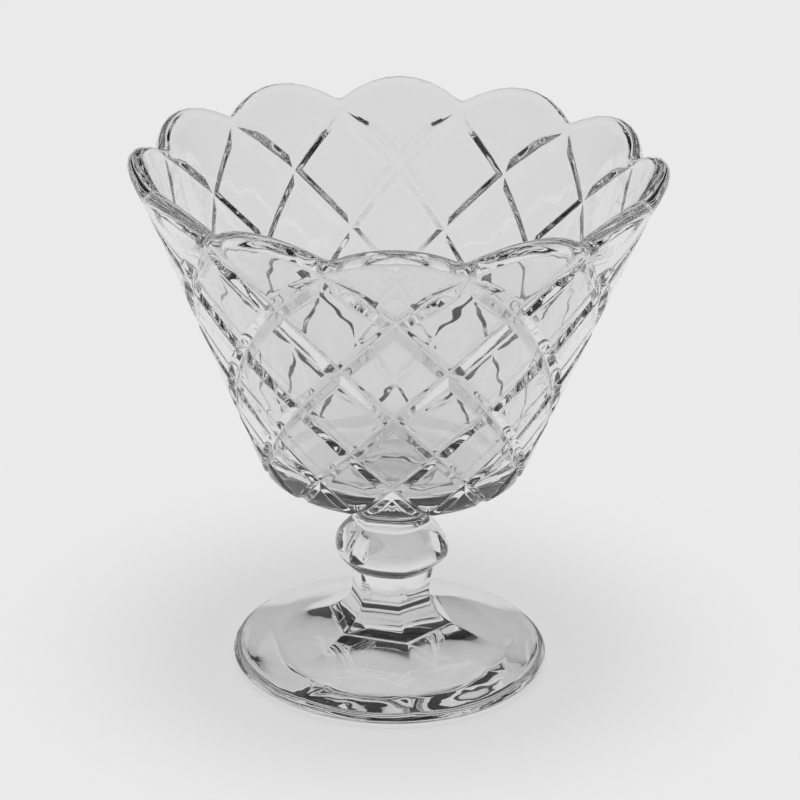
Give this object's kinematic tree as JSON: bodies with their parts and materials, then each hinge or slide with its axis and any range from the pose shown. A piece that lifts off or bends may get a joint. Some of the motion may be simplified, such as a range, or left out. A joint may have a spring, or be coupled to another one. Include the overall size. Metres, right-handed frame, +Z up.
{
  "type": "footed dessert bowl",
  "caption": "Cone-shaped clear glass dessert bowl with a scalloped rim and diamond groove lattice, on a six-sided knopped stem and round foot, for serving desserts.",
  "frame": {"origin": "middle of the plane that the foot rests on", "axes": "+Z up along the axis of the bowl, stem and foot; -Y is the front, where a lobe of the rim faces the viewer"},
  "size_m": [0.1202, 0.1202, 0.1239],
  "materials": {
    "clear_glass": "fire-polished gloss"
  },
  "bodies": {
    "root": {"bowl": "clear_glass", "stem": "clear_glass", "foot": "clear_glass"}
  },
  "joints": []
}
